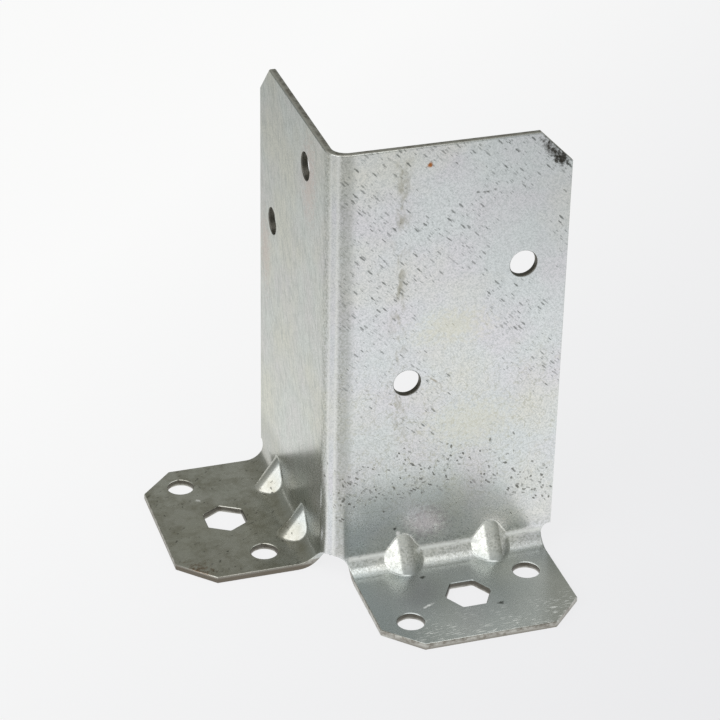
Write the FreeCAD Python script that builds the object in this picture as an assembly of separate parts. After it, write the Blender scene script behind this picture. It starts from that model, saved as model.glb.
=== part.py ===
"""Timber post base: one folded and pressed galvanised steel sheet.

Millimetres, +Z up. Two upright flanges meet at a rounded fold that points to -X -Y, so a square
post stands inside the angle, on the +X +Y side. Each flange carries a foot folded outwards, bored
for anchors and stiffened by two gussets pressed across its fold. The sheet is drawn from its outer
corner line and moved at the end, so that the origin lies under the middle of its box.
"""

import FreeCAD, Part

import math
import os

from FreeCAD import Vector

# The sheet and its upright angle
SHEET = 3.0
HEIGHT = 190.0
FLANGE_WIDTH = 97.5
CORNER_FOLD_INNER = 5.5
TOP_CHAMFER = 13.5

# The feet, measured from the outer face and the outer corner line of the angle
FOOT_REACH = 56.5
FOOT_START = 10.0
FOOT_END_INSET = 4.5
FOOT_FOLD_INNER = 8.0
FOOT_CHAMFER = 14.0
NOTCH_RADIUS = 7.5
STEP_RADIUS = 4.0
RELIEF_DROP = 0.5

# Round holes in the flanges: one diagonal pair on each, its middle set down from the top edge by
# two different drops so that the screws cross
FLANGE_HOLE = 11.0
FLANGE_HOLES_ALONG = 56.0
FLANGE_HOLE_PITCH = 46.5
RIGHT_PAIR_DROP = 78.7
LEFT_PAIR_DROP = 41.8

# Round and hexagonal holes in the feet
FOOT_HOLE = 11.0
FOOT_HOLE_PITCH_ALONG = 56.5
FOOT_HOLE_PITCH_OUT = 21.2
FOOT_HOLES_OUT = 29.8
HEX_ACROSS_FLATS = 16.5
HEX_OUT = 28.3
HEX_CORNER_RADIUS = 0.9

# Gussets pressed across each foot's fold
GUSSET_PITCH = 37.5
GUSSET_RISE = 13.8
GUSSET_RUN = 10.4
GUSSET_INNER_RADIUS = 3.0
GUSSET_HALF_ANGLE = 50.0
GUSSET_BLEND = 1.5

# Sizes that follow from the ones above
CORNER_FOLD_OUTER = CORNER_FOLD_INNER + SHEET
FOLD_LINE = SHEET + FOOT_FOLD_INNER
RELIEF_TOP = FOLD_LINE - RELIEF_DROP
FOOT_END = FLANGE_WIDTH - FOOT_END_INSET
FOOT_MIDDLE = (FOOT_START + FOOT_END) / 2
GUSSET_OUTER_RADIUS = GUSSET_INNER_RADIUS + SHEET
BEYOND = FLANGE_WIDTH + FOOT_REACH
CENTRE_SHIFT = (FOOT_REACH - FLANGE_WIDTH) / 2

X_AXIS = Vector(1, 0, 0)
Y_AXIS = Vector(0, 1, 0)
Z_AXIS = Vector(0, 0, 1)
ORIGIN = Vector(0, 0, 0)


def line(start, end):
    """Straight edge."""
    return Part.LineSegment(start, end).toShape()


def arc(start, middle, end):
    """Circular edge through three points."""
    return Part.Arc(start, middle, end).toShape()


def face_from(edges):
    """Flat face inside a closed run of edges."""
    return Part.Face(Part.Wire(edges))


def prism(points, travel):
    """Straight-sided solid: a polygon pushed along a vector."""
    return Part.Face(Part.makePolygon(points + points[:1])).extrude(travel)


def on_both_sides(shape):
    """A right-hand shape and its twin on the left flange."""
    return [shape, shape.mirror(ORIGIN, Vector(1, -1, 0))]


def side_section(x):
    """Section of one side in the plane at x: foot, foot fold and flange, the outside towards -Y."""
    centre_y = -FOOT_FOLD_INNER
    half = math.sqrt(0.5)
    under = FOOT_FOLD_INNER + SHEET
    foot_edge_low = Vector(x, -FOOT_REACH, 0)
    under_fold_start = Vector(x, centre_y, 0)
    under_fold_middle = Vector(x, centre_y + under * half, FOLD_LINE - under * half)
    under_fold_end = Vector(x, SHEET, FOLD_LINE)
    back_top = Vector(x, SHEET, HEIGHT)
    front_top = Vector(x, 0, HEIGHT)
    fold_start = Vector(x, 0, FOLD_LINE)
    fold_middle = Vector(x, centre_y + FOOT_FOLD_INNER * half, FOLD_LINE - FOOT_FOLD_INNER * half)
    fold_end = Vector(x, centre_y, SHEET)
    foot_edge_high = Vector(x, -FOOT_REACH, SHEET)
    return face_from([
        line(foot_edge_low, under_fold_start),
        arc(under_fold_start, under_fold_middle, under_fold_end),
        line(under_fold_end, back_top),
        line(back_top, front_top),
        line(front_top, fold_start),
        arc(fold_start, fold_middle, fold_end),
        line(fold_end, foot_edge_high),
        line(foot_edge_high, foot_edge_low),
    ])


def folded_blank():
    """The whole angle with its flared foot all round: two straight sides and the turned corner."""
    section = side_section(CORNER_FOLD_OUTER)
    straight = section.extrude(X_AXIS * (FLANGE_WIDTH - CORNER_FOLD_OUTER))
    fold_axis = Vector(CORNER_FOLD_OUTER, CORNER_FOLD_OUTER, 0)
    corner = section.revolve(fold_axis, Z_AXIS, -90)
    right, left = on_both_sides(straight)
    return right.fuse([corner, left]).removeSplitter()


def corner_notch():
    """Round-ended notch that parts the two feet and stops just under their fold lines."""
    centre_x = FOOT_START - NOTCH_RADIUS
    centre_z = RELIEF_TOP - NOTCH_RADIUS
    half = math.sqrt(0.5)
    y = -BEYOND
    low_far = Vector(-BEYOND, y, -SHEET)
    low_near = Vector(FOOT_START, y, -SHEET)
    round_start = Vector(FOOT_START, y, centre_z)
    round_middle = Vector(centre_x + NOTCH_RADIUS * half, y, centre_z + NOTCH_RADIUS * half)
    round_end = Vector(centre_x, y, RELIEF_TOP)
    high_far = Vector(-BEYOND, y, RELIEF_TOP)
    profile = face_from([
        line(low_far, low_near),
        line(low_near, round_start),
        arc(round_start, round_middle, round_end),
        line(round_end, high_far),
        line(high_far, low_far),
    ])
    reach = profile.extrude(Y_AXIS * 2 * BEYOND)
    right_of_diagonal = prism(
        [Vector(-2 * BEYOND, -2 * BEYOND, -2 * SHEET), Vector(2 * BEYOND, 2 * BEYOND, -2 * SHEET),
         Vector(2 * BEYOND, -2 * BEYOND, -2 * SHEET)],
        Z_AXIS * (FOLD_LINE + 4 * SHEET))
    right, left = on_both_sides(reach.common(right_of_diagonal))
    return right.fuse(left)


def free_edge_step():
    """Cut under a flange's free edge, where the foot is narrower than the flange."""
    half = math.sqrt(0.5)
    y = -BEYOND
    centre_x = FOOT_END + STEP_RADIUS
    centre_z = RELIEF_TOP - STEP_RADIUS
    low_near = Vector(FOOT_END, y, -SHEET)
    round_start = Vector(FOOT_END, y, centre_z)
    round_middle = Vector(centre_x - STEP_RADIUS * half, y, centre_z + STEP_RADIUS * half)
    round_end = Vector(centre_x, y, RELIEF_TOP)
    high_far = Vector(BEYOND + STEP_RADIUS, y, RELIEF_TOP)
    low_far = Vector(BEYOND + STEP_RADIUS, y, -SHEET)
    profile = face_from([
        line(low_near, round_start),
        arc(round_start, round_middle, round_end),
        line(round_end, high_far),
        line(high_far, low_far),
        line(low_far, low_near),
    ])
    return profile.extrude(Y_AXIS * (BEYOND + 2 * SHEET))


def corner_cut(corner, along, across, leg, thickness):
    """Wedge that takes a 45 degree chamfer off a square corner of the sheet.

    along and across point from the corner out of the sheet, and thickness runs through it.
    """
    over = SHEET
    outside = corner + (along + across) * over
    first = corner + along * over - across * (leg + over)
    second = corner + across * over - along * (leg + over)
    start = thickness * -0.5
    return prism([outside + start, first + start, second + start], thickness * 2)


def chamfers():
    """Corner cuts of one side: the flange's top corner and the foot's two outer corners."""
    top = corner_cut(Vector(FLANGE_WIDTH, 0, HEIGHT), X_AXIS, Z_AXIS, TOP_CHAMFER, Y_AXIS * SHEET)
    far = corner_cut(Vector(FOOT_END, -FOOT_REACH, 0), X_AXIS, -Y_AXIS, FOOT_CHAMFER, Z_AXIS * SHEET)
    near = corner_cut(Vector(FOOT_START, -FOOT_REACH, 0), -X_AXIS, -Y_AXIS, FOOT_CHAMFER, Z_AXIS * SHEET)
    return [top, far, near]


def flange_holes(turn, drop):
    """Diagonal pair of round holes through a flange; turn is the side on which the higher one lies."""
    holes = []
    for step in (-0.5, 0.5):
        along = FLANGE_HOLES_ALONG + turn * step * FLANGE_HOLE_PITCH
        up = HEIGHT - drop + step * FLANGE_HOLE_PITCH
        holes.append(Part.makeCylinder(FLANGE_HOLE / 2, 3 * SHEET, Vector(along, -SHEET, up), Y_AXIS))
    return holes


def hexagon_hole():
    """Hexagonal hole through a foot, two flats parallel to the fold, with slightly rounded corners."""
    corner_radius = HEX_ACROSS_FLATS / math.sqrt(3)
    centre = Vector(FOOT_MIDDLE, -HEX_OUT, -SHEET)
    corners = [
        centre + Vector(corner_radius * math.cos(math.radians(60 * i)),
                        corner_radius * math.sin(math.radians(60 * i)), 0)
        for i in range(6)
    ]
    hole = prism(corners, Z_AXIS * 3 * SHEET)
    uprights = [e for e in hole.Edges if abs(e.Vertexes[0].Z - e.Vertexes[-1].Z) > SHEET]
    return hole.makeFillet(HEX_CORNER_RADIUS, uprights)


def foot_holes(turn):
    """Holes of one foot: the hexagon between a diagonal pair of round holes."""
    holes = [hexagon_hole()]
    for step in (-0.5, 0.5):
        along = FOOT_MIDDLE + turn * step * FOOT_HOLE_PITCH_ALONG
        out = FOOT_HOLES_OUT - step * FOOT_HOLE_PITCH_OUT
        holes.append(Part.makeCylinder(FOOT_HOLE / 2, 3 * SHEET, Vector(along, -out, -SHEET), Z_AXIS))
    return holes


def gusset_prism(x, radius, crest_depth, past):
    """Rounded V along the gusset's sloping crest.

    Args:
        x: middle of the gusset along the flange.
        radius: radius of the V's nose.
        crest_depth: how far the nose lies under the outer crest line.
        past: how far the prism runs on past the flange and the foot.

    Returns:
        The solid V, open towards the corner of the fold.
    """
    slope = math.hypot(GUSSET_RISE, GUSSET_RUN)
    down = Vector(0, -GUSSET_RUN / slope, -GUSSET_RISE / slope)
    out = Vector(0, -GUSSET_RISE / slope, GUSSET_RUN / slope)
    angle = math.radians(GUSSET_HALF_ANGLE)
    crest = Vector(x, 0, SHEET + GUSSET_RISE) - out * crest_depth - down * past
    nose_depth = radius * (1 - math.sin(angle))
    nose_side = radius * math.cos(angle)
    depth = GUSSET_RISE + GUSSET_RUN
    spread = nose_side + (depth - nose_depth) * math.tan(angle)
    nose_left = crest - X_AXIS * nose_side - out * nose_depth
    nose_right = crest + X_AXIS * nose_side - out * nose_depth
    base_left = crest - X_AXIS * spread - out * depth
    base_right = crest + X_AXIS * spread - out * depth
    profile = face_from([
        arc(nose_left, crest, nose_right),
        line(nose_right, base_right),
        line(base_right, base_left),
        line(base_left, nose_left),
    ])
    return profile.extrude(down * (slope + 2 * past))


def front_of_sheet():
    """Space in front of the right side's middle surface, which a gusset's outside fills."""
    half = math.sqrt(0.5)
    middle = SHEET / 2
    radius = FOOT_FOLD_INNER + middle
    centre_y = -FOOT_FOLD_INNER
    high = SHEET + 3 * GUSSET_RISE + FOOT_FOLD_INNER
    far = -3 * GUSSET_RUN - FOOT_FOLD_INNER
    space = face_from([
        line(Vector(0, middle, FOLD_LINE), Vector(0, middle, high)),
        line(Vector(0, middle, high), Vector(0, far, high)),
        line(Vector(0, far, high), Vector(0, far, middle)),
        line(Vector(0, far, middle), Vector(0, centre_y, middle)),
        arc(Vector(0, centre_y, middle),
            Vector(0, centre_y + radius * half, FOLD_LINE - radius * half),
            Vector(0, middle, FOLD_LINE)),
    ])
    return space.extrude(X_AXIS * FLANGE_WIDTH)


def gusset_places():
    """Middles of one side's gussets along its flange."""
    return [FOOT_MIDDLE - GUSSET_PITCH / 2, FOOT_MIDDLE + GUSSET_PITCH / 2]


def add_gusset_outsides(sheet):
    """Raise the gussets on both sides of the fold and blend them into the sheet."""
    space = front_of_sheet()
    ribs = []
    for x in gusset_places():
        rib = gusset_prism(x, GUSSET_OUTER_RADIUS, 0, GUSSET_RUN).common(space)
        ribs += on_both_sides(rib)
    raised = sheet.fuse(ribs)
    joints = []
    for edge in raised.Edges:
        middle = Part.Vertex(edge.valueAt((edge.FirstParameter + edge.LastParameter) / 2))
        on_sheet = middle.distToShape(sheet)[0] < 0.001
        on_rib = any(middle.distToShape(rib)[0] < 0.001 for rib in ribs)
        inside_front = any(edge.CenterOfMass.isEqual(other.CenterOfMass, 0.001) for other in sheet.Edges)
        if on_sheet and on_rib and not inside_front:
            joints.append(edge)
    return raised.makeFillet(GUSSET_BLEND, joints)


def gusset_hollows():
    """What the press leaves open behind the gussets, one sheet thickness inside their outsides."""
    hollows = []
    for x in gusset_places():
        hollow = gusset_prism(x, GUSSET_INNER_RADIUS, SHEET, GUSSET_RUN)
        hollows += on_both_sides(hollow)
    return hollows


def cuts():
    """Everything that is cut out of the folded sheet."""
    tools = [corner_notch()]
    for cut in [free_edge_step()] + chamfers():
        tools += on_both_sides(cut)
    tools += flange_holes(1, RIGHT_PAIR_DROP) + foot_holes(1)
    for hole in flange_holes(-1, LEFT_PAIR_DROP) + foot_holes(-1):
        tools.append(on_both_sides(hole)[1])
    return tools


def folded_bracket():
    """The finished sheet, moved so that the origin is under the middle of its box."""
    sheet = add_gusset_outsides(folded_blank())
    sheet = sheet.cut(cuts() + gusset_hollows())
    sheet.translate(Vector(CENTRE_SHIFT, CENTRE_SHIFT, 0))
    return sheet.Solids[0]


def main():
    """Write the sheet as one STEP file."""
    os.makedirs("parts", exist_ok=True)
    bracket = folded_bracket()
    box = bracket.optimalBoundingBox(False, False)
    print(f"folded_bracket {box.XLength:.2f} x {box.YLength:.2f} x {box.ZLength:.2f} mm, "
          f"volume {bracket.Volume:.0f}, valid {bracket.isValid()}")
    bracket.exportStep("parts/folded_bracket.step")


main()
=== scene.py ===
"""Looks of a galvanised steel post base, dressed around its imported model.

The bracket is one folded sheet, so there is one piece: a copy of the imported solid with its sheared
edges rounded and its folds shaded smooth. It gets two finishes, the zinc coat on the sheet's two
sides and the darker one on its sheared edges. Metres, +Z up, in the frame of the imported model.
"""

import logging
import math
from dataclasses import dataclass, field
from enum import Enum
from functools import partial
from typing import Any, Callable, Optional

import bpy
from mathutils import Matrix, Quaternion, Vector

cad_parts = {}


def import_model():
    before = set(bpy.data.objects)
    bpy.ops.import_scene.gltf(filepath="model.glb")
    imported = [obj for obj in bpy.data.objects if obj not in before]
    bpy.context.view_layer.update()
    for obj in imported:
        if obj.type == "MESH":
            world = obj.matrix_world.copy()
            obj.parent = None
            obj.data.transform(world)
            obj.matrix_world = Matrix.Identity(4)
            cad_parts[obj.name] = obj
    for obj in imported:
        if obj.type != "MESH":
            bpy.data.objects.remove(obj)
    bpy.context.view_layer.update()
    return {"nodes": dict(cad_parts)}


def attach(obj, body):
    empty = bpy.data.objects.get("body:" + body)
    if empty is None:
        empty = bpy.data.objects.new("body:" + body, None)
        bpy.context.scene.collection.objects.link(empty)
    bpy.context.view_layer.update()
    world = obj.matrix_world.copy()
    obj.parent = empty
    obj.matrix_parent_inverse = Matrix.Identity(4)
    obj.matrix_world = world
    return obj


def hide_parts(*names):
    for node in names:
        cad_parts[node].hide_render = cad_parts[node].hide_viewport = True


LOG = logging.getLogger("post_base")

MM = 0.001

# Places on the sheet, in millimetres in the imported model's frame
SHEET = 3.0
CORNER = -20.5
FREE_EDGE = 77.0
FOOT_FRONT = -77.0
FOOT_START = -10.5
FOLD_LINE = 11.0
TOP = 190.0
CORNER_FOLD = 8.5

# Sockets of a colour Mix by number, because its other kinds have sockets of the same names
UNDER = 6
OVER = 7
MIXED = 2

# The frayed edge of a mark: size of the fray, how far it shifts the edge, and where the edge falls off,
# both counted in the mark's radius
FRAY_MM = 1.6
FRAY_SHIFT = 2.4
EDGE_STARTS = 1.4
EDGE_ENDS = 2.1

Socket = bpy.types.NodeSocket
Outputs = bpy.types.bpy_prop_collection
AddNode = Callable[..., Outputs]
Triple = tuple[float, float, float]


def linear(hex_colour: str) -> tuple[float, float, float, float]:
    """Turn an sRGB hex colour into linear red, green, blue and an alpha of one.

    Args:
        hex_colour: six hex digits after a number sign.

    Returns:
        The four linear numbers that a shader socket takes.
    """
    digits = hex_colour.lstrip("#")
    channels = [int(digits[i:i + 2], 16) / 255 for i in (0, 2, 4)]
    turned = [c / 12.92 if c <= 0.04045 else ((c + 0.055) / 1.055) ** 2.4 for c in channels]
    return (turned[0], turned[1], turned[2], 1.0)


def per_size(millimetres: float) -> float:
    """Texture scale on Object coordinates that gives a pattern of that size in millimetres."""
    return 1 / (millimetres * MM)


def metres(millimetres: Triple) -> Vector:
    """The same place or size in metres."""
    return Vector(millimetres) * MM


def add_node(
        tree: bpy.types.NodeTree,
        kind: str,
        inputs: Optional[dict] = None,
        **settings: Any) -> Outputs:
    """Add a node with its settings and links.

    Args:
        tree: node tree that gets the node.
        kind: the node's type name after ShaderNode.
        inputs: a value or an output socket for each input, by its name or its number.
        settings: properties of the node, such as its operation.

    Returns:
        The new node's outputs, by name or number.
    """
    node = tree.nodes.new("ShaderNode" + kind)
    for name, value in settings.items():
        setattr(node, name, value)
    for name, value in (inputs or {}).items():
        socket = node.inputs[name]
        if isinstance(value, bpy.types.NodeSocket):
            tree.links.new(value, socket)
        else:
            socket.default_value = value
    return node.outputs


class Zone(Enum):
    """Stretches of the sheet whose finish differs, some of them with light or shade painted into their
    colour.

    Each is a box in millimetres: its low corner, its high corner and how softly its sides end.
    """

    RIGHT_FLANGE = ((CORNER + 5, CORNER - 2, FOLD_LINE - 2), (FREE_EDGE + 3, CORNER + 1, TOP + 3), 4)
    LEFT_FLANGE = ((CORNER - 2, CORNER + 5, FOLD_LINE - 2), (CORNER + 1, FREE_EDGE + 3, TOP + 3), 4)
    LEFT_FOOT = ((FOOT_FRONT - 5, FOOT_START - 5, SHEET - 3), (CORNER - 2, FREE_EDGE, SHEET + 7), 4)
    RIGHT_FOOT = ((FOOT_START - 5, FOOT_FRONT - 5, SHEET - 2), (FREE_EDGE, CORNER - 4, SHEET + 3), 4)
    SPECKLED = ((CORNER, CORNER - 9, 32), (56, CORNER + 9, 54), 18)
    SPECKLED_RIGHT = ((50, CORNER - 9, 24), (FREE_EDGE + 9, CORNER + 9, 42), 16)
    FLECKED = ((CORNER + 8, CORNER - 9, 105), (12, CORNER + 9, TOP + 9), 30)
    WORMED = ((CORNER, CORNER - 25, 24), (FREE_EDGE + 9, CORNER + 25, 98), 40)
    SCRATCHED = ((FOOT_START + 10, FOOT_FRONT - 9, SHEET - 19), (FREE_EDGE + 9, -62, SHEET + 19), 18)
    # Painted sheen: the right foot lighter towards its front and its free end, the left foot towards its
    # far end, for the brighter light that they mirror there
    WORN_FRONT = ((8, FOOT_FRONT - 12, SHEET - 30), (FREE_EDGE + 12, -60, SHEET + 30), 24)
    WORN_END = ((56, FOOT_FRONT - 12, SHEET - 30), (FREE_EDGE + 12, -38, SHEET + 30), 24)
    FAR_END = ((FOOT_FRONT - 15, 44, SHEET - 30), (CORNER - 2, FREE_EDGE + 15, SHEET + 9), 24)
    # Painted reflection: darker zinc low on the left flange, where it mirrors the darker left foot
    LOW_ON_LEFT = ((CORNER - 6, FOOT_START - 4, -4), (CORNER + 6, FREE_EDGE + 6, 25), 7)
    LOW_ON_RIGHT = ((CORNER - 9, CORNER - 20, 28), (58, CORNER + 20, 74), 26)
    FEW_FLECKS = ((CORNER - 9, CORNER - 20, -12), (FREE_EDGE + 20, CORNER + 20, 56), 22)
    HIGH_ON_RIGHT = ((46, CORNER - 25, 128), (FREE_EDGE + 25, CORNER + 25, TOP + 25), 36)
    UNDER_TOP = ((FOOT_START, CORNER - 9, TOP - 9), (FREE_EDGE - 12, CORNER + 9, TOP + 9), 8)
    RIGHT_TOP_RIM = ((CORNER, CORNER - 5, 120), (FREE_EDGE + 5, CORNER + 1.0, TOP + 5), 0.7)
    LEFT_TOP_RIM = ((CORNER - 5, CORNER, 120), (CORNER + 1.0, FREE_EDGE + 5, TOP + 5), 0.7)
    # Painted shade: a darker band down the right side of the upright fold, where it mirrors the dim floor
    # near the camera
    FOLD_SHADE = ((CORNER + 4, CORNER - 2, FOLD_LINE), (CORNER + 9.5, CORNER + 2.5, TOP + 1), 3.5)
    # Painted highlight: a bright band down the middle of the upright fold
    FOLD_SHINE = ((CORNER + 1, CORNER + 1, FOLD_LINE), (CORNER + 3.8, CORNER + 3.8, TOP + 1), 2)
    SMUDGED = ((5.5, CORNER - 5, 60), (10.5, CORNER + 5, TOP - 6), 5)
    # Partly painted highlight: the bright line high on the right foot's fold lies where the fold's thin
    # highlight falls; the zinc there is also scraped rough
    RUBBED_FOLD = ((FOOT_START, CORNER - 2.5, 7.9), (FREE_EDGE, CORNER + 2, 9.4), 1.2)
    # Right foot's fold: painted sheen and painted shade, together with its worn grain
    RIGHT_FOLD = ((FOOT_START, CORNER - 9, SHEET), (FREE_EDGE, CORNER + 1, FOLD_LINE + 2), 3)
    UPRIGHT_FOLD = ((CORNER - 4, CORNER - 4, FOLD_LINE), (CORNER + 8, CORNER + 8, TOP + 9), 4)
    RIGHT_FOOT_EDGE = ((FOOT_START - 9, FOOT_FRONT - 9, -9), (FREE_EDGE + 9, FOOT_FRONT + 9.5, 1.3), 1.4)
    LEFT_FOOT_EDGE = ((FOOT_FRONT - 9, FOOT_START - 9, -9), (FOOT_FRONT + 9.5, FREE_EDGE + 9, 1.7), 1)
    LEFT_FOOT_SIDE = ((FOOT_FRONT - 9, FOOT_START - 9, -9), (CORNER - 2, FOOT_START + 15, SHEET - 0.3), 1.4)
    RIGHT_FLANGE_BORES = ((0, CORNER - 5, 60), (68, CORNER + 8, TOP - 9), 1)
    LEFT_FLANGE_BORES = ((CORNER - 5, 0, 60), (CORNER + 8, 68, TOP - 9), 1)
    RIGHT_FOOT_BORES = ((-6, -67, 0.9), (67, -30, SHEET + 5), 1)
    LEFT_FOOT_BORES = ((-67, -6, 0.9), (-30, 67, SHEET + 5), 1)

    def share(self, add: AddNode, place: Socket, inside: float = 1.0) -> Socket:
        """Share of a finish that keeps to this stretch.

        Args:
            add: adds a node to the material.
            place: where a point lies, in metres.
            inside: the share inside the stretch; outside it is nothing.

        Returns:
            The share.
        """
        low, high, soft = self.value
        middle = (metres(low) + metres(high)) / 2
        half = (metres(high) - metres(low)) / 2
        from_middle = add("VectorMath", {0: place, 1: middle}, operation="SUBTRACT")[0]
        one_side = add("VectorMath", {0: from_middle}, operation="ABSOLUTE")[0]
        past = add("VectorMath", {0: one_side, 1: half}, operation="SUBTRACT")[0]
        sides = add("SeparateXYZ", {0: past})
        flat = add("Math", {0: sides[0], 1: sides[1]}, operation="MAXIMUM")[0]
        furthest = add("Math", {0: flat, 1: sides[2]}, operation="MAXIMUM")[0]
        reach = soft * MM / 2
        return add("MapRange", {
            "Value": furthest, "From Min": -reach, "From Max": reach, "To Min": inside, "To Max": 0.0})[0]


@dataclass(frozen=True)
class Mark:
    """A stain, burn, nick or rub on the zinc.

    Attributes:
        name: what it is.
        place: its middle in millimetres.
        radius: how far it reaches, in millimetres.
        colour: sRGB hex colour of the mark.
        strength: share of the mark's colour at its middle.
        stretch: how much longer it is along its own X, Y and Z than its radius.
        turn: turn about X, Y and Z in degrees, for a mark that slants across the sheet.
        rubbed: whether the zinc is scraped there, so that it scatters light instead of mirroring.
    """

    name: str
    place: Triple
    radius: float
    colour: str
    strength: float
    stretch: Triple = (1.0, 1.0, 1.0)
    turn: Triple = (0.0, 0.0, 0.0)
    rubbed: bool = False

    def share(self, add: AddNode, place: Socket) -> Socket:
        """Share of the mark's colour, falling off from its middle with a frayed edge.

        Args:
            add: adds a node to the material.
            place: where a point lies, in metres.

        Returns:
            The share.
        """
        reach = metres(self.stretch) * self.radius
        turned = tuple(math.radians(angle) for angle in self.turn)
        local = add("Mapping", {
            "Vector": place, "Location": metres(self.place), "Rotation": turned,
            "Scale": reach}, vector_type="TEXTURE")[0]
        away = add("VectorMath", {0: local}, operation="LENGTH")["Value"]
        frayed = add("TexNoise", {
            "Vector": place, "Scale": per_size(FRAY_MM), "Detail": 3.0, "Roughness": 0.65})[0]
        edge = add("Math", {0: frayed, 1: FRAY_SHIFT, 2: away}, operation="MULTIPLY_ADD")[0]
        return add("MapRange", {
            "Value": edge, "From Min": EDGE_STARTS, "From Max": EDGE_ENDS,
            "To Min": self.strength, "To Max": 0.0})[0]


MARKS = (
    Mark("scorch along the chamfer", (69.2, CORNER, 181.4), 3.6, "#3A3832", 0.95,
         (2.9, 1.0, 1.0), (0, 48, 0)),
    Mark("darkest end of the scorch", (72.2, CORNER, 178.2), 3.4, "#34322C", 0.9,
         (1.5, 1.0, 1.3), (0, 48, 0)),
    Mark("rust speck", (18.8, CORNER, 182.2), 1.3, "#B5713A", 1.0),
    Mark("yellowed patch", (31.0, CORNER, 111.0), 17.0, "#DFDCC8", 0.5, (1.2, 1.0, 0.6)),
    Mark("yellowed patch low down", (40.0, CORNER, 66.0), 19.0, "#DFDCC8", 0.4, (1.3, 1.0, 0.8)),
    Mark("nick in a row", (38.4, CORNER, 168.2), 0.8, "#5A5C58", 0.8, (1.5, 1.0, 0.8)),
    Mark("long nick in the row", (42.2, CORNER, 168.0), 0.8, "#6A6C68", 0.7, (2.2, 1.0, 0.7)),
    Mark("last nick in the row", (45.6, CORNER, 168.6), 0.7, "#5A5C58", 0.7, (1.2, 1.0, 1.0)),
    Mark("brown scratch", (23.4, CORNER, 87.6), 0.7, "#8A7C60", 0.6, (6.0, 1.0, 0.8), (0, 40, 0)),
    Mark("dark end of the nick", (8.6, CORNER, 20.0), 1.2, "#3E3E3A", 0.9),
    Mark("bright nick over the gusset", (10.1, CORNER - 1, 17.5), 1.5, "#FFFFFF", 1.0,
         (1.0, 3.0, 1.0), rubbed=True),
    Mark("pinkish tint by the high hole", (CORNER, 7.0, 168.0), 15.0, "#DEC8C4", 0.55, (0.2, 0.8, 1.5)),
    Mark("pinkish tint by the free edge", (CORNER, 69.0, 108.0), 13.0, "#DEC8C4", 0.5, (0.2, 0.8, 1.8)),
    Mark("dull lilac patch between the gussets", (22.5, CORNER, 20.5), 11.0, "#ACA5A8", 0.62,
         (1.15, 1.0, 0.95)),
    Mark("bright nick on the left foot", (-56.5, 46.9, SHEET), 1.3, "#FFFFFF", 1.0, rubbed=True),
    Mark("bright scratch on the right foot", (13.1, -52.5, SHEET), 0.9, "#FFFFFF", 0.9,
         (4.5, 1.0, 1.0), (0, 0, 24), rubbed=True),
    Mark("dark speck on the right foot", (16.7, -33.3, SHEET), 1.3, "#4C4E4A", 0.9, (1.5, 1.0, 1.0)),
    Mark("dark speck by the hexagon", (41.4, -58.8, SHEET), 1.3, "#4C4E4A", 0.9, (1.6, 1.0, 1.0)),
    Mark("scratch on the left flange", (CORNER, 8.5, 19.5), 0.7, "#3E3E3A", 0.9,
         (1.0, 4.6, 1.0), (28.4, 0, 0)),
    Mark("rust on the left foot's chamfer", (-71.0, -5.0, 1.5), 9.0, "#8A6A4C", 0.8, (1.0, 1.0, 0.6)),
)


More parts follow.
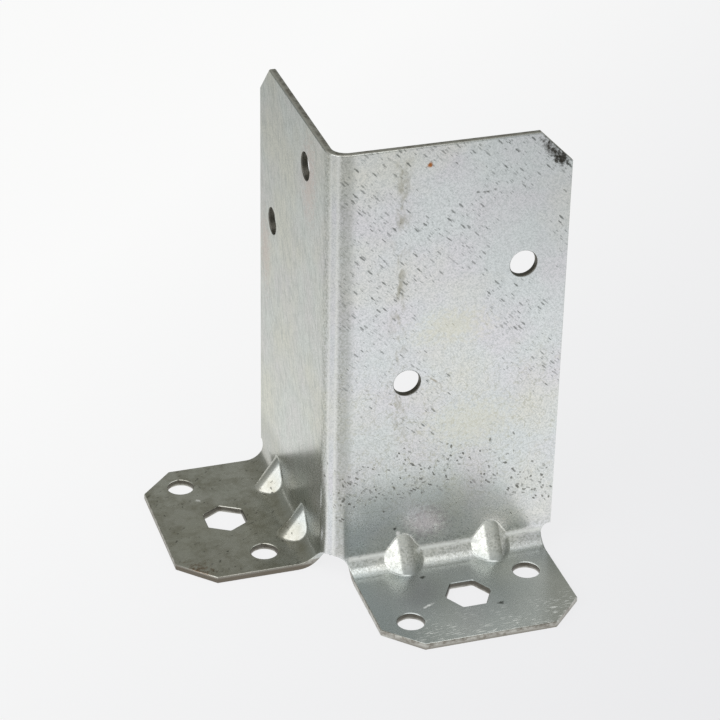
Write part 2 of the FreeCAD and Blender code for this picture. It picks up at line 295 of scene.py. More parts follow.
@dataclass(frozen=True)
class ZincCoat:
    """Hot-dip galvanised steel sheet: a thin zinc coat, dull bright, with a fine mottled grain.

    To the eye it is a metal that mirrors large shapes softly, clouded by bluish and lilac patches
    and peppered with small slanting dark flecks where the press and the wash have marked it.

    Attributes:
        name: the material's name.
        cool: colour of the bluish zinc, which the lilac and the warm zinc cloud.
        lilac: colour of the lilac patches.
        warm: colour of the yellowish patches.
        dulled: colour of duller zinc, in the grain, the streaks, the runs and the right foot.
        olive: cast of the left foot.
        blotch: colour of the left foot's blotches.
        shade: colour of painted shade, in the darker mirrored band low on the left flange and the dark band
            beside the upright fold, and of the dull worn grain on the folds, which partly stands as painted
            shade too.
        highlight_and_scratch: colour of the bright scratches, and of painted highlight and sheen on the
            upright fold, the right foot's fold and the lightened ends of the feet.
        smudge: colour of the smudges beside the upright fold.
        worm: colour of the thin curling lines and of the cast low on the right flange.
        fleck: colour of the slanting flecks.
        speck: colour of the pits.
        roughness: how softly the coat mirrors.
        cloud_mm: size of the patches of cool, lilac and warm zinc.
        grain_mm: size of the fine grain.
        grain_share: share of the dulled colour where the grain is strongest.
        grain_height_mm: height of the grain.
        grain_strength: how much of that height the light shows.
        pit_roughness: how much rougher a fleck, a pit or a scratch is.
        scraped_metal: share of metal where the zinc is scraped.
        slant: how far flecks and streaks slant down across the right flange, in degrees.
        run_slant: how far the runs on the left flange lean from upright, in degrees.
        fleck_cells: length of a cell in millimetres, fewest and most flecks in a patch and their
            strength, for the bold flecks and the faint ones.
        fleck_width: width of a fleck's cell as a share of its length.
        fleck_patch_mm: size of the patches in which flecks gather.
        fleck_fray_mm: size of the fray of a fleck's edge.
        speck_mm: size of a pit's cell.
        speck_tilt: turn of the pits' pattern in degrees, with which it lies edge-on to no flat.
        speck_sway_mm: how far the pits stray from an even pattern.
        speck_swirl_mm: size of the swirl in which they stray.
        speck_patch_mm: size of the patches in which pits gather.
        speck_fray_mm: size of the fray of a pit's edge.
        streak_mm: size of a streak along its own X, Y and Z.
        run_mm: size of a run along its own X, Y and Z.
        grit_mm: size of the worn grain on the folds.
        smudge_mm: size of a smudge along X, Y and Z.
        worm_mm: how far apart the curling lines lie.
        blotch_mm: size of the left foot's blotches.
        scratch_mm: size of a scratch along its own X, Y and Z.
        scratch_turn: how far the scratches turn from the right foot's front, in degrees.
        scratch_patch_mm: size of the patches in which scratches gather.
        marks: the stains, burns, nicks and rubs, in the order in which they lie.
    """

    name: str = "hot_dip_zinc_coat"
    cool: str = "#E3E8E9"
    lilac: str = "#E5E4E8"
    warm: str = "#E7E7E0"
    dulled: str = "#B2B8B8"
    olive: str = "#D6D4CA"
    blotch: str = "#9A9582"
    # Painted shade, and the dull grain on the folds
    shade: str = "#999B93"
    # Painted highlight and sheen, as well as the bright scratches
    highlight_and_scratch: str = "#FAFBF9"
    smudge: str = "#A3A192"
    worm: str = "#A8A78F"
    fleck: str = "#5A5E5B"
    speck: str = "#55534A"
    roughness: float = 0.24
    cloud_mm: float = 24.0
    grain_mm: float = 0.7
    grain_share: float = 0.6
    grain_height_mm: float = 0.1
    grain_strength: float = 0.09
    pit_roughness: float = 0.35
    scraped_metal: float = 0.35
    slant: float = 46.0
    run_slant: float = -22.0
    fleck_cells: tuple[tuple[float, ...], ...] = ((7.4, 0.1, 0.62, 0.9), (4.4, 0.12, 0.75, 0.6))
    fleck_width: float = 0.25
    fleck_patch_mm: float = 26.0
    fleck_fray_mm: float = 0.8
    speck_mm: float = 1.6
    speck_tilt: Triple = (35.3, -45.0, 0.0)
    speck_sway_mm: float = 3.0
    speck_swirl_mm: float = 4.0
    speck_patch_mm: float = 9.0
    speck_fray_mm: float = 0.9
    streak_mm: Triple = (3.4, 3.4, 0.7)
    run_mm: Triple = (1.5, 1.5, 5.5)
    grit_mm: float = 1.0
    smudge_mm: Triple = (4.5, 4.5, 9.0)
    worm_mm: float = 5.0
    blotch_mm: float = 9.0
    scratch_mm: Triple = (3.6, 0.55, 3.6)
    scratch_turn: float = 4.0
    scratch_patch_mm: float = 7.0
    marks: tuple[Mark, ...] = MARKS

    def material(self) -> bpy.types.Material:
        """Build the coat's material.

        Returns:
            The material.
        """
        made = bpy.data.materials.new(self.name)
        made.use_nodes = True
        made.node_tree.nodes.clear()
        add = partial(add_node, made.node_tree)
        place = add("TexCoord")["Object"]
        grain = add("TexNoise", {
            "Vector": place, "Scale": per_size(self.grain_mm), "Detail": 3.0, "Roughness": 0.6})[0]
        outer = self.outer_side(add, place)
        flecks, specks, scratches = (
            add("Math", {0: outer, 1: share}, operation="MULTIPLY")[0]
            for share in (self.flecks(add, place), self.specks(add, place), self.scratches(add, place)))
        layers = [
            (self.olive, Zone.LEFT_FOOT.share(add, place, 0.75)),
            (self.dulled, Zone.RIGHT_FOOT.share(add, place, 0.75)),
            # painted sheen: lighter zinc towards the ends of the feet
            (self.highlight_and_scratch, Zone.WORN_FRONT.share(add, place, 0.5)),
            (self.highlight_and_scratch, Zone.WORN_END.share(add, place, 0.75)),
            (self.highlight_and_scratch, Zone.FAR_END.share(add, place, 0.32)),
            # painted reflection: darker zinc low on the left flange, where it mirrors the left foot
            (self.shade, Zone.LOW_ON_LEFT.share(add, place, 0.4)),
            (self.worm, Zone.LOW_ON_RIGHT.share(add, place, 0.12)),
            (self.dulled, Zone.HIGH_ON_RIGHT.share(add, place, 0.25)),
            (self.dulled, self.streaks(add, place)),
            (self.dulled, self.runs(add, place)),
            # painted shade: darker band beside the upright fold
            (self.shade, Zone.FOLD_SHADE.share(add, place, 0.42)),
            # painted sheen: the right foot's fold lightened under its grain
            (self.highlight_and_scratch, Zone.RIGHT_FOLD.share(add, place, 0.15)),
            (self.shade, self.worn_fold(add, place)),
            # painted highlight: bright band in the upright fold
            (self.highlight_and_scratch, Zone.FOLD_SHINE.share(add, place, 1.0)),
            (self.smudge, self.smudges(add, place)),
            (self.worm, self.worms(add, place)),
            (self.blotch, self.blotches(add, place)),
            (self.highlight_and_scratch, scratches),
            (self.fleck, flecks),
            (self.speck, specks),
        ]
        for mark in self.marks:
            share = mark.share(add, place)
            layers.append((mark.colour, share))
            if mark.rubbed:
                scratches = add("Math", {0: scratches, 1: share}, operation="MAXIMUM")[0]
        dull_grain = add("MapRange", {
            "Value": grain, "From Min": 0.42, "From Max": 0.7, "To Max": self.grain_share})[0]
        colour = add("Mix", {
            "Factor": dull_grain, UNDER: self.clouds(add, place), OVER: linear(self.dulled)},
            data_type="RGBA")[MIXED]
        for tint, share in layers:
            shown = add("Math", {0: outer, 1: share}, operation="MULTIPLY")[0]
            colour = add("Mix", {
                "Factor": shown, UNDER: colour, OVER: linear(tint)}, data_type="RGBA")[MIXED]
        pits = add("Math", {0: flecks, 1: specks}, operation="MAXIMUM")[0]
        coarse = add("Math", {0: pits, 1: scratches}, operation="MAXIMUM")[0]
        smoothest = self.roughness - 0.03
        roughest = self.roughness + 0.05
        even = add("MapRange", {
            "Value": grain, "From Min": 0.3, "From Max": 0.7, "To Min": smoothest, "To Max": roughest})[0]
        rough = add("Math", {0: coarse, 1: self.pit_roughness, 2: even}, operation="MULTIPLY_ADD")[0]
        height = add("Math", {0: grain, 1: pits}, operation="SUBTRACT")[0]
        bump = add("Bump", {
            "Strength": self.grain_strength, "Distance": self.grain_height_mm * MM, "Height": height})[0]
        metal = add("MapRange", {"Value": scratches, "To Min": 1.0, "To Max": self.scraped_metal})[0]
        shader = add("BsdfPrincipled", {
            "Base Color": colour, "Metallic": metal, "Roughness": rough, "Normal": bump})[0]
        add("OutputMaterial", {"Surface": shader})
        return made

    def outer_side(self, add: AddNode, place: Socket) -> Socket:
        """Share of the marks that the photographed outer side has and the side against the post has not.

        Args:
            add: adds a node to the material.
            place: where a point lies, in metres.

        Returns:
            One on the outer side and on the feet, nothing on the inner side.
        """
        sides = add("SeparateXYZ", {0: place})
        nearest = add("Math", {0: sides[0], 1: sides[1]}, operation="MINIMUM")[0]
        middle = (CORNER + SHEET / 2) * MM
        return add("MapRange", {
            "Value": nearest, "From Min": middle, "From Max": middle + 0.5 * MM,
            "To Min": 1.0, "To Max": 0.0})[0]

    def clouds(self, add: AddNode, place: Socket) -> Socket:
        """Broad faint patches of cool, lilac and warm zinc.

        Args:
            add: adds a node to the material.
            place: where a point lies, in metres.

        Returns:
            The patches' colour.
        """
        first = add("TexNoise", {"Vector": place, "Scale": per_size(self.cloud_mm), "Detail": 3.0})[0]
        second = add("TexNoise", {
            "Vector": place, "Scale": per_size(1.6 * self.cloud_mm), "Detail": 4.0})[0]
        lilac_share = add("MapRange", {"Value": first, "From Min": 0.4, "From Max": 0.62})[0]
        warm_share = add("MapRange", {"Value": second, "From Min": 0.48, "From Max": 0.66})[0]
        cooled = add("Mix", {
            "Factor": lilac_share, UNDER: linear(self.cool), OVER: linear(self.lilac)},
            data_type="RGBA")[MIXED]
        return add("Mix", {
            "Factor": warm_share, UNDER: cooled, OVER: linear(self.warm)}, data_type="RGBA")[MIXED]

    def flecks(self, add: AddNode, place: Socket) -> Socket:
        """Slanting dark flecks on the right flange: long bold ones over many short faint ones.

        They are thickest beside the upright fold and under the top edge, and few low down.

        Args:
            add: adds a node to the material.
            place: where a point lies, in metres.

        Returns:
            The flecks' share.
        """
        patches = add("TexNoise", {
            "Vector": place, "Scale": per_size(self.fleck_patch_mm), "Detail": 1.0})[0]
        frayed = add("TexNoise", {"Vector": place, "Scale": per_size(self.fleck_fray_mm), "Detail": 2.0})[0]
        beside_fold = Zone.FLECKED.share(add, place, 0.66)
        under_top = Zone.UNDER_TOP.share(add, place, 0.7)
        thick = add("Math", {0: beside_fold, 1: under_top}, operation="MAXIMUM")[0]
        thin = Zone.FEW_FLECKS.share(add, place, 0.5)
        both = 0.0
        for length_mm, fewest, most, strength in self.fleck_cells:
            laid = add("Mapping", {
                "Vector": place, "Rotation": (math.radians(90), math.radians(self.slant), 0),
                "Scale": metres((length_mm, self.fleck_width * length_mm, 1.0))},
                vector_type="TEXTURE")[0]
            cells = add("TexVoronoi", {"Vector": laid, "Scale": 1.0}, voronoi_dimensions="2D")
            chance = add("SeparateColor", {0: cells["Color"]})
            crowd = add("MapRange", {
                "Value": patches, "From Min": 0.4, "From Max": 0.62, "To Min": fewest, "To Max": most})[0]
            crowd = add("Math", {0: crowd, 1: thick}, operation="MAXIMUM")[0]
            crowd = add("Math", {0: crowd, 1: thin}, operation="SUBTRACT")[0]
            chosen = add("Math", {0: crowd, 1: chance[0]}, operation="SUBTRACT")[0]
            size = add("MapRange", {
                "Value": chosen, "From Min": -0.02, "From Max": 0.25, "To Max": 0.31})[0]
            edge = add("Math", {0: frayed, 1: 0.26, 2: cells["Distance"]}, operation="MULTIPLY_ADD")[0]
            inside = add("Math", {0: size, 1: edge}, operation="SUBTRACT")[0]
            varied = add("MapRange", {"Value": chance[1], "To Min": 0.35 * strength, "To Max": strength})[0]
            found = add("MapRange", {
                "Value": inside, "From Min": -0.04, "From Max": 0.04, "To Max": varied})[0]
            both = add("Math", {0: both, 1: found}, operation="MAXIMUM")[0]
        on_flange = Zone.RIGHT_FLANGE.share(add, place)
        return add("Math", {0: both, 1: on_flange}, operation="MULTIPLY")[0]

    def specks(self, add: AddNode, place: Socket) -> Socket:
        """Dark pits about a millimetre wide, gathered above the right foot and scattered elsewhere.

        Args:
            add: adds a node to the material.
            place: where a point lies, in metres.

        Returns:
            The specks' share.
        """
        on_left = Zone.SPECKLED.share(add, place, 0.78)
        on_right = Zone.SPECKLED_RIGHT.share(add, place, 0.75)
        on_foot = Zone.LEFT_FOOT.share(add, place, 0.3)
        crowded = add("Math", {0: on_left, 1: on_right}, operation="MAXIMUM")[0]
        crowded = add("Math", {0: crowded, 1: on_foot}, operation="MAXIMUM")[0]
        patches = add("TexNoise", {
            "Vector": place, "Scale": per_size(self.speck_patch_mm), "Detail": 2.0})[0]
        gathered = add("MapRange", {
            "Value": patches, "From Min": 0.4, "From Max": 0.6, "To Min": 0.45, "To Max": 1.3})[0]
        crowd = add("Math", {0: crowded, 1: gathered, 2: 0.1}, operation="MULTIPLY_ADD")[0]
        swirl = add("TexNoise", {
            "Vector": place, "Scale": per_size(self.speck_swirl_mm), "Detail": 1.0})["Color"]
        sway = metres((self.speck_sway_mm,) * 3)
        swayed = add("VectorMath", {0: swirl, 1: sway, 2: place}, operation="MULTIPLY_ADD")[0]
        tilt = tuple(math.radians(angle) for angle in self.speck_tilt)
        laid = add("Mapping", {
            "Vector": swayed, "Rotation": tilt, "Scale": metres((self.speck_mm,) * 3)},
            vector_type="TEXTURE")[0]
        cells = add("TexVoronoi", {"Vector": laid, "Scale": 1.0}, voronoi_dimensions="2D")
        chance = add("SeparateColor", {0: cells["Color"]})
        chosen = add("Math", {0: crowd, 1: chance[1]}, operation="SUBTRACT")[0]
        size = add("MapRange", {"Value": chosen, "From Min": -0.02, "From Max": 0.3, "To Max": 0.6})[0]
        frayed = add("TexNoise", {"Vector": place, "Scale": per_size(self.speck_fray_mm), "Detail": 3.0})[0]
        edge = add("Math", {0: frayed, 1: 0.8, 2: cells["Distance"]}, operation="MULTIPLY_ADD")[0]
        inside = add("Math", {0: size, 1: edge}, operation="SUBTRACT")[0]
        strength = add("MapRange", {"Value": chance[2], "To Min": 0.25, "To Max": 0.75})[0]
        return add("MapRange", {
            "Value": inside, "From Min": -0.12, "From Max": 0.02, "To Max": strength})[0]

    def streaks(self, add: AddNode, place: Socket) -> Socket:
        """Fine slanting streaks of duller zinc on the right flange.

        Args:
            add: adds a node to the material.
            place: where a point lies, in metres.

        Returns:
            The streaks' share.
        """
        laid = add("Mapping", {
            "Vector": place, "Rotation": (0, math.radians(self.slant), 0),
            "Scale": metres(self.streak_mm)}, vector_type="TEXTURE")[0]
        lines = add("TexNoise", {"Vector": laid, "Scale": 1.0, "Detail": 2.0})[0]
        most = Zone.RIGHT_FLANGE.share(add, place, 0.45)
        return add("MapRange", {"Value": lines, "From Min": 0.5, "From Max": 0.75, "To Max": most})[0]

    def runs(self, add: AddNode, place: Socket) -> Socket:
        """Fine steep streaks on the left flange, where the zinc has run.

        Args:
            add: adds a node to the material.
            place: where a point lies, in metres.

        Returns:
            The runs' share.
        """
        laid = add("Mapping", {
            "Vector": place, "Rotation": (math.radians(self.run_slant), 0, 0),
            "Scale": metres(self.run_mm)}, vector_type="TEXTURE")[0]
        lines = add("TexNoise", {"Vector": laid, "Scale": 1.0, "Detail": 4.0, "Roughness": 0.6})[0]
        most = Zone.LEFT_FLANGE.share(add, place, 0.8)
        return add("MapRange", {"Value": lines, "From Min": 0.46, "From Max": 0.66, "To Max": most})[0]

    def worn_fold(self, add: AddNode, place: Socket) -> Socket:
        """Broken dull grain where the die has worn the zinc on the folds; on the right foot's fold it also
        serves as painted shade for the fold's grey middle.

        Args:
            add: adds a node to the material.
            place: where a point lies, in metres.

        Returns:
            The grain's share.
        """
        grit = add("TexNoise", {
            "Vector": place, "Scale": per_size(self.grit_mm), "Detail": 4.0, "Roughness": 0.7})[0]
        right = Zone.RIGHT_FOLD.share(add, place, 0.56)
        upright = Zone.UPRIGHT_FOLD.share(add, place, 0.55)
        most = add("Math", {0: right, 1: upright}, operation="MAXIMUM")[0]
        return add("MapRange", {"Value": grit, "From Min": 0.46, "From Max": 0.6, "To Max": most})[0]

    def smudges(self, add: AddNode, place: Socket) -> Socket:
        """Column of dull yellowish smudges that runs down beside the upright fold.

        Args:
            add: adds a node to the material.
            place: where a point lies, in metres.

        Returns:
            The smudges' share.
        """
        laid = add("Mapping", {"Vector": place, "Scale": metres(self.smudge_mm)}, vector_type="TEXTURE")[0]
        patches = add("TexNoise", {"Vector": laid, "Scale": 1.0, "Detail": 4.0, "Roughness": 0.65})[0]
        most = Zone.SMUDGED.share(add, place, 0.75)
        return add("MapRange", {"Value": patches, "From Min": 0.48, "From Max": 0.62, "To Max": most})[0]

    def worms(self, add: AddNode, place: Socket) -> Socket:
        """Thin curling yellowish lines low on the right flange.

        Args:
            add: adds a node to the material.
            place: where a point lies, in metres.

        Returns:
            The lines' share.
        """
        field_of_lines = add("TexNoise", {
            "Vector": place, "Scale": per_size(self.worm_mm), "Detail": 2.0})[0]
        from_line = add("Math", {0: field_of_lines, 1: 0.5}, operation="SUBTRACT")[0]
        off_line = add("Math", {0: from_line}, operation="ABSOLUTE")[0]
        most = Zone.WORMED.share(add, place, 0.45)
        return add("MapRange", {"Value": off_line, "From Max": 0.02, "To Min": most, "To Max": 0.0})[0]

    def blotches(self, add: AddNode, place: Socket) -> Socket:
        """Soft olive brown blotches on the left foot.

        Args:
            add: adds a node to the material.
            place: where a point lies, in metres.

        Returns:
            The blotches' share.
        """
        patches = add("TexNoise", {
            "Vector": place, "Scale": per_size(self.blotch_mm), "Detail": 6.0, "Roughness": 0.75})[0]
        most = Zone.LEFT_FOOT.share(add, place, 0.6)
        return add("MapRange", {"Value": patches, "From Min": 0.42, "From Max": 0.66, "To Max": most})[0]

    def scratches(self, add: AddNode, place: Socket) -> Socket:
        """Short bright scratches along the right foot's front, and the bright line high on its fold, which
        is scraped zinc and also a painted highlight.

        Args:
            add: adds a node to the material.
            place: where a point lies, in metres.

        Returns:
            The scratches' share.
        """
        laid = add("Mapping", {
            "Vector": place, "Rotation": (0, 0, math.radians(self.scratch_turn)),
            "Scale": metres(self.scratch_mm)}, vector_type="TEXTURE")[0]
        lines = add("TexNoise", {"Vector": laid, "Scale": 1.0, "Detail": 4.0, "Roughness": 0.6})[0]
        patches = add("TexNoise", {
            "Vector": place, "Scale": per_size(self.scratch_patch_mm), "Detail": 2.0})[0]
        most = Zone.SCRATCHED.share(add, place, 0.95)
        thickly = add("MapRange", {"Value": patches, "From Min": 0.4, "From Max": 0.58, "To Min": 0.15})[0]
        most = add("Math", {0: most, 1: thickly}, operation="MULTIPLY")[0]
        on_foot = add("MapRange", {"Value": lines, "From Min": 0.55, "From Max": 0.63, "To Max": most})[0]
        # bright line on the fold: scraped zinc and a painted highlight
        rubbed = Zone.RUBBED_FOLD.share(add, place, 1.0)
        on_fold = add("MapRange", {"Value": lines, "From Min": 0.3, "From Max": 0.45, "To Max": rubbed})[0]
        return add("Math", {0: on_foot, 1: on_fold}, operation="MAXIMUM")[0]


@dataclass(frozen=True)
class ShearedEdge:
    """Cut face of the sheet after the dip: coarser and duller zinc over torn steel, browned in places.

    Attributes:
        name: the material's name.
        zinc: colour where the zinc covers the cut.
        browned: colour where it is stained, as it is on most of the feet.
        rim_highlight: lighter colour painted along the outer rim of the flanges' tops as the rolled rim's
            highlight.
        painted_hole_shade: dark colour painted inside the round and hexagonal holes as their shade.
        roughness: how softly the cut mirrors.
        stain_mm: size of the stained places.
        tear_mm: size of the tears.
        tear_height_mm: height of the tears.
        tear_strength: how much of that height the light shows.
        metal: share of metal, less than whole because the cut is dirty.
    """

    name: str = "sheared_galvanised_edge"
    zinc: str = "#BFBEB8"
    browned: str = "#6D655A"
    rim_highlight: str = "#E2E0DA"
    painted_hole_shade: str = "#4E4A42"
    roughness: float = 0.42
    stain_mm: float = 3.0
    tear_mm: float = 0.9
    tear_height_mm: float = 0.15
    tear_strength: float = 0.35
    metal: float = 0.9

    def material(self) -> bpy.types.Material:
        """Build the edge's material.

        Returns:
            The material.
        """
        made = bpy.data.materials.new(self.name)
        made.use_nodes = True
        made.node_tree.nodes.clear()
        add = partial(add_node, made.node_tree)
        place = add("TexCoord")["Object"]
        patches = add("TexNoise", {
            "Vector": place, "Scale": per_size(self.stain_mm), "Detail": 6.0, "Roughness": 0.7})[0]
        here_and_there = add("MapRange", {
            "Value": patches, "From Min": 0.44, "From Max": 0.62, "To Max": 0.7})[0]
        right_edge = Zone.RIGHT_FOOT_EDGE.share(add, place, 0.65)
        left_edge = Zone.LEFT_FOOT_EDGE.share(add, place, 0.7)
        left_side = Zone.LEFT_FOOT_SIDE.share(add, place, 0.93)
        on_left = add("Math", {0: left_edge, 1: left_side}, operation="MAXIMUM")[0]
        on_feet = add("Math", {0: right_edge, 1: on_left}, operation="MAXIMUM")[0]
        share = add("Math", {0: here_and_there, 1: on_feet}, operation="MAXIMUM")[0]
        colour = add("Mix", {
            "Factor": share, UNDER: linear(self.zinc), OVER: linear(self.browned)}, data_type="RGBA")[MIXED]
        tinted = (
            # Painted highlight: lighter outer rim along the tops of the flanges
            (Zone.RIGHT_TOP_RIM, 0.6, self.rim_highlight),
            (Zone.LEFT_TOP_RIM, 0.6, self.rim_highlight),
            # Painted shade: dark walls inside the holes
            (Zone.RIGHT_FLANGE_BORES, 0.85, self.painted_hole_shade),
            (Zone.LEFT_FLANGE_BORES, 0.85, self.painted_hole_shade),
            (Zone.RIGHT_FOOT_BORES, 0.85, self.painted_hole_shade),
            (Zone.LEFT_FOOT_BORES, 0.85, self.painted_hole_shade),
        )
        for zone, inside, tint in tinted:
            colour = add("Mix", {
                "Factor": zone.share(add, place, inside), UNDER: colour, OVER: linear(tint)},
                data_type="RGBA")[MIXED]
        tears = add("TexNoise", {"Vector": place, "Scale": per_size(self.tear_mm), "Detail": 3.0})[0]
        bump = add("Bump", {
            "Strength": self.tear_strength, "Distance": self.tear_height_mm * MM, "Height": tears})[0]
        shader = add("BsdfPrincipled", {
            "Base Color": colour, "Metallic": self.metal, "Roughness": self.roughness, "Normal": bump})[0]
        add("OutputMaterial", {"Surface": shader})
        return made


@dataclass
class FoldedSheet:
    """The whole bracket: flanges, feet, folds and pressed gussets in one sheet.

    Attributes:
        node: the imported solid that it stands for.
        coat: finish of the sheet's two sides.
        edge: finish of its sheared faces.
        roll: radius in millimetres of the rounding that the die leaves along the sheared edges.
        roll_steps: number of steps across that rounding.
        square: angle in degrees from which an edge counts as sheared.
        folded: angle in degrees up to which an edge is shaded smooth, as part of a fold.
        flat_weight: how firmly a large flat face keeps its own shading.
        joined: distance in millimetres under which two corners of the mesh are one.
        level: angle in degrees under which two faces are one flat.
        slack: distance in millimetres by which a face may miss its place and still count.
    """

    node: str = "folded_bracket"
    coat: ZincCoat = field(default_factory=ZincCoat)
    edge: ShearedEdge = field(default_factory=ShearedEdge)
    roll: float = 0.6
    roll_steps: int = 3
    square: float = 62.0
    folded: float = 36.0
    flat_weight: int = 80
    joined: float = 0.005
    level: float = 0.3
    slack: float = 0.2

    def build(self, packed: bpy.types.Object) -> bpy.types.Object:
        """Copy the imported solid, finish its shape and dress it.

        Args:
            packed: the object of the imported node.

        Returns:
            The finished piece, riding on the part's only body.
        """
        piece = self.merged_copy(packed)
        piece.data.materials.clear()
        piece.data.materials.append(self.coat.material())
        piece.data.materials.append(self.edge.material())
        for face in piece.data.polygons:
            face.material_index = int(self.is_sheared(face.center / MM, face.normal))
        self.round_edges(piece)
        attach(piece, "root")
        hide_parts(self.node)
        return piece

    def merged_copy(self, packed: bpy.types.Object) -> bpy.types.Object:
        """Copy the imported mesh, join its loose triangles and clear the edges inside flat faces.

        Args:
            packed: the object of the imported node.

        Returns:
            The copy, as an object of its own.
        """
        piece = bpy.data.objects.new("folded_sheet", packed.data.copy())
        bpy.context.scene.collection.objects.link(piece)
        bpy.ops.object.select_all(action="DESELECT")
        piece.select_set(True)
        bpy.context.view_layer.objects.active = piece
        bpy.ops.object.mode_set(mode="EDIT")
        bpy.ops.mesh.select_all(action="SELECT")
        bpy.ops.mesh.customdata_custom_splitnormals_clear()
        bpy.ops.mesh.remove_doubles(threshold=self.joined * MM)
        bpy.ops.mesh.dissolve_limited(angle_limit=math.radians(self.level))
        bpy.ops.object.mode_set(mode="OBJECT")
        return piece

    def is_sheared(self, middle: Vector, normal: Vector) -> bool:
        """Tell whether a face runs through the sheet's thickness, by where it lies and which way it faces.

        Args:
            middle: middle of the face, in millimetres.
            normal: direction that the face looks in.

        Returns:
            True for a sheared face.
        """
        square_on = 0.1
        straight_up = 0.99
        along_the_fold = 0.97
        if middle.z > FOLD_LINE - self.slack:
            outer = CORNER - self.slack
            inner = CORNER + SHEET + self.slack
            past_fold = CORNER + CORNER_FOLD
            if outer < middle.y < inner and middle.x > past_fold and abs(normal.y) < square_on:
                return True
            if outer < middle.x < inner and middle.y > past_fold and abs(normal.x) < square_on:
                return True
            return normal.z > straight_up and middle.z > TOP - self.slack
        if middle.z < SHEET + self.slack and abs(normal.z) < square_on:
            return True
        across = normal.x if middle.x > middle.y else normal.y
        return abs(across) > along_the_fold

    def round_edges(self, piece: bpy.types.Object) -> None:
        """Round the sheared edges as the die does and shade the folds smooth, with the flats kept flat.

        Args:
            piece: the merged copy of the sheet.
        """
        roll = piece.modifiers.new("die_roll", "BEVEL")
        roll.limit_method = "ANGLE"
        roll.angle_limit = math.radians(self.square)
        roll.width = self.roll * MM
        roll.segments = self.roll_steps
        roll.use_clamp_overlap = False
        roll.loop_slide = False
        bpy.ops.object.modifier_apply(modifier=roll.name)
        bpy.ops.object.shade_smooth_by_angle(angle=math.radians(self.folded), keep_sharp_edges=False)
        flats = piece.modifiers.new("flat_faces", "WEIGHTED_NORMAL")
        flats.mode = "FACE_AREA"
        flats.weight = self.flat_weight
        flats.keep_sharp = True
        bpy.ops.object.modifier_apply(modifier=flats.name)


@dataclass(frozen=True)
class Softbox:
    """A large square studio lamp.

    Attributes:
        name: the lamp's name.
        azimuth: compass angle of the lamp in degrees from +Y towards +X.
        elevation: its angle above the floor in degrees.
        distance: from the object's middle, in metres.
        side: side length in metres.
        radiance: brightness of its face, where one renders as white.
    """

    name: str
    azimuth: float
    elevation: float
    distance: float
    side: float
    radiance: float

    def build(self, middle: Vector) -> bpy.types.Object:
        """Place the lamp so that it faces the object's middle.

        Args:
            middle: the object's middle, in metres.

        Returns:
            The lamp's object.
        """
        lamp = bpy.data.lights.new(self.name, "AREA")
        lamp.shape = "SQUARE"
        lamp.size = self.side
        lamp.energy = self.radiance * math.pi * self.side ** 2
        placed = bpy.data.objects.new(self.name, lamp)
        away = direction(self.azimuth, self.elevation)
        placed.location = middle + away * self.distance
        placed.rotation_euler = (-away).to_track_quat("-Z", "Y").to_euler()
        bpy.context.scene.collection.objects.link(placed)
        return placed


def direction(azimuth: float, elevation: float) -> Vector:
    """Unit vector of a compass direction that rises above the floor.

    Args:
        azimuth: angle from +Y towards +X, in degrees.
        elevation: angle above the floor, in degrees.

    Returns:
        The direction.
    """
    turn = math.radians(azimuth)
    rise = math.radians(elevation)
    return Vector((math.sin(turn) * math.cos(rise), math.cos(turn) * math.cos(rise), math.sin(rise)))


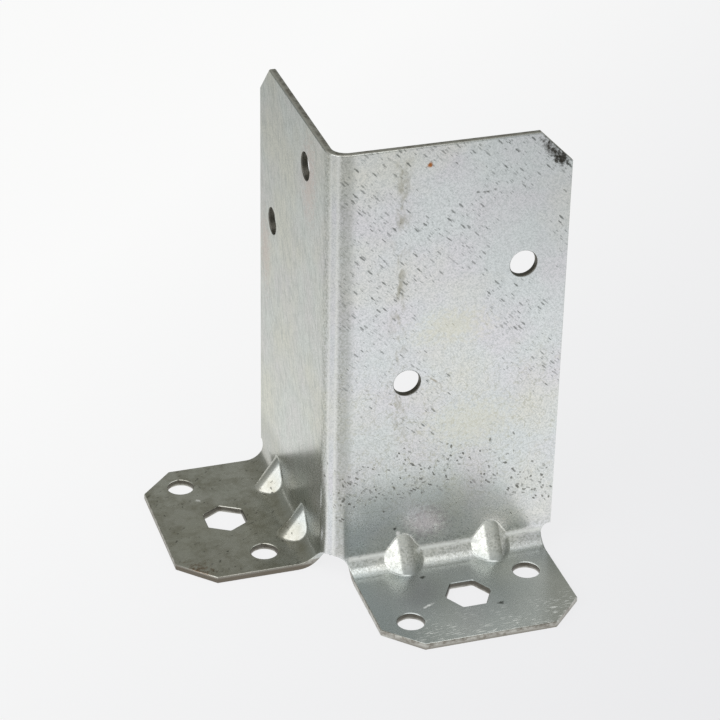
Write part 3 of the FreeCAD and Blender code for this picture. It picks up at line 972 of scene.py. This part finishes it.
@dataclass
class Studio:
    """Plain pale floor, soft lamps, a grey room above the floor and the photograph's camera.

    Attributes:
        floor_far_left: the floor's colour behind the object on the left, where it is lightest.
        floor_near_right: its colour in front on the right.
        near_glow: the floor as the metal mirrors it near by.
        left_glow: the same behind the object on the left.
        far_glow: the same a metre away.
        dark_room: the room beyond the object.
        light_room: the room behind the camera.
        middle: the object's middle, in metres.
        floor_side: side length of the floor, in metres.
        floor_gap: how far it lies under the feet, in millimetres.
        floor_slope: where the floor's colour starts and ends its change, in metres to the front right.
        floor_glow: how much of the floor's look is its own colour and not the light that falls on it.
        lit_place: the place on the floor that is lit best, in metres.
        room_axis: the way in which the room grows lighter.
        softboxes: the lamps.
        camera_azimuth: compass angle that the camera looks in, in degrees.
        camera_elevation: how far it looks down, in degrees.
        camera_roll: its turn about its own axis, in degrees.
        camera_distance: from the point that it looks at, in millimetres.
        camera_aim: the point that it looks at, in millimetres.
        camera_lens: its focal length in millimetres.
        camera_sensor: the width of its sensor in millimetres.
    """

    floor_far_left: str = "#FFFFFF"
    floor_near_right: str = "#EDEDEF"
    near_glow: str = "#FFFFFF"
    left_glow: str = "#FBFBF4"
    far_glow: str = "#8A8C88"
    dark_room: str = "#898B84"
    light_room: str = "#CBCDCA"
    middle: Vector = field(default_factory=lambda: Vector((0, 0, 0.08)))
    floor_side: float = 6.0
    floor_gap: float = 0.05
    floor_slope: tuple[float, float] = (-0.34, 0.27)
    floor_glow: float = 0.88
    lit_place: Triple = (0.05, -0.12, 0.0)
    room_axis: Triple = (-0.45, -0.89, 0.0)
    softboxes: tuple[Softbox, ...] = (
        Softbox("overhead_softbox", -170, 80, 1.6, 1.35, 1.05),
        Softbox("left_softbox", -112, 25, 1.7, 1.5, 1.05),
    )
    camera_azimuth: float = 17.983
    camera_elevation: float = 30.066
    camera_roll: float = 1.099
    camera_distance: float = 1058.81
    camera_aim: Triple = (-0.17, 1.88, 87.99)
    camera_lens: float = 132.775
    camera_sensor: float = 36.0

    def build(self) -> None:
        """Build the whole set."""
        self.add_floor()
        self.add_room()
        for softbox in self.softboxes:
            softbox.build(self.middle)
            LOG.info("lamp %s", softbox.name)
        self.add_camera()
        bpy.context.scene.view_settings.view_transform = "Standard"

    def add_floor(self) -> None:
        """Lay a large pale floor just under the feet."""
        bpy.ops.mesh.primitive_plane_add(size=self.floor_side, location=(0, 0, -self.floor_gap * MM))
        floor = bpy.context.active_object
        floor.name = "pale_floor"
        made = bpy.data.materials.new("matt_white_paper")
        made.use_nodes = True
        made.node_tree.nodes.clear()
        add = partial(add_node, made.node_tree)
        place = add("TexCoord")["Object"]
        # Painted light on the floor: lightest behind on the left and darker in front on the right, as the
        # light falls off across it
        front_right = (1.0, -1.0, 0.0)
        slope = add("VectorMath", {0: place, 1: front_right}, operation="DOT_PRODUCT")["Value"]
        starts, ends = self.floor_slope
        nearer_right = add("MapRange", {"Value": slope, "From Min": starts, "From Max": ends})[0]
        colour = add("Mix", {
            "Factor": nearer_right, UNDER: linear(self.floor_far_left),
            OVER: linear(self.floor_near_right)}, data_type="RGBA")[MIXED]
        rays = add("LightPath")
        shown = rays["Is Camera Ray"]
        for kind in ("Is Glossy Ray", "Is Transmission Ray"):
            shown = add("Math", {0: shown, 1: rays[kind]}, operation="MAXIMUM")[0]
        as_seen = add("Mix", {
            "Factor": rays["Is Glossy Ray"], UNDER: colour, OVER: self.mirrored_floor(add, place)},
            data_type="RGBA")[MIXED]
        paper = add("BsdfDiffuse", {"Color": colour})[0]
        glow = add("Emission", {"Color": as_seen, "Strength": 1.0})[0]
        glowing = add("Math", {0: shown, 1: self.floor_glow}, operation="MULTIPLY")[0]
        surface = add("MixShader", {0: glowing, 1: paper, 2: glow})[0]
        add("OutputMaterial", {"Surface": surface})
        floor.data.materials.append(made)

    def mirrored_floor(self, add: AddNode, place: Socket) -> Socket:
        """Colour of the floor in the metal, which dims away from the lit place in front of the object.

        Args:
            add: adds a node to the material.
            place: where a point of the floor lies, in metres.

        Returns:
            The colour.
        """
        from_lit_place = add("VectorMath", {0: place, 1: self.lit_place}, operation="DISTANCE")["Value"]
        depth = add("SeparateXYZ", {0: place})["Y"]
        behind = add("MapRange", {"Value": depth, "From Min": -0.01, "From Max": 0.07})[0]
        beyond = add("MapRange", {"Value": from_lit_place, "From Min": 0.1, "From Max": 0.9})[0]
        lit = add("Mix", {
            "Factor": behind, UNDER: linear(self.near_glow), OVER: linear(self.left_glow)},
            data_type="RGBA")[MIXED]
        return add("Mix", {
            "Factor": beyond, UNDER: lit, OVER: linear(self.far_glow)}, data_type="RGBA")[MIXED]

    def add_room(self) -> None:
        """Fill the room with soft grey, lighter behind the camera than beyond the object."""
        world = bpy.data.worlds.new("soft_grey_room")
        bpy.context.scene.world = world
        world.use_nodes = True
        world.node_tree.nodes.clear()
        add = partial(add_node, world.node_tree)
        way = add("TexCoord")["Generated"]
        backwards = add("VectorMath", {0: way, 1: self.room_axis}, operation="DOT_PRODUCT")["Value"]
        share = add("MapRange", {"Value": backwards, "From Min": -0.5, "From Max": 0.6})[0]
        colour = add("Mix", {
            "Factor": share, UNDER: linear(self.dark_room), OVER: linear(self.light_room)},
            data_type="RGBA")[MIXED]
        grey = add("Background", {"Color": colour, "Strength": 1.0})[0]
        add("OutputWorld", {"Surface": grey})

    def add_camera(self) -> None:
        """Set the camera up as the photograph was taken."""
        made = bpy.data.cameras.new("photo_camera")
        made.lens = self.camera_lens
        made.sensor_fit = "HORIZONTAL"
        made.sensor_width = self.camera_sensor
        placed = bpy.data.objects.new("photo_camera", made)
        looks = direction(self.camera_azimuth, -self.camera_elevation)
        placed.location = metres(self.camera_aim) - looks * self.camera_distance * MM
        level = looks.to_track_quat("-Z", "Y")
        placed.rotation_euler = (level @ Quaternion((0, 0, 1), math.radians(self.camera_roll))).to_euler()
        bpy.context.scene.collection.objects.link(placed)
        bpy.context.scene.camera = placed


def main() -> None:
    """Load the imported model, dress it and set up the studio."""
    logging.basicConfig(level=logging.INFO, format="%(name)s: %(message)s")
    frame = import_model()
    sheet = FoldedSheet()
    piece = sheet.build(frame["nodes"][sheet.node])
    LOG.info("%s: %d faces", piece.name, len(piece.data.polygons))
    Studio().build()


if __name__ == "__main__":
    main()
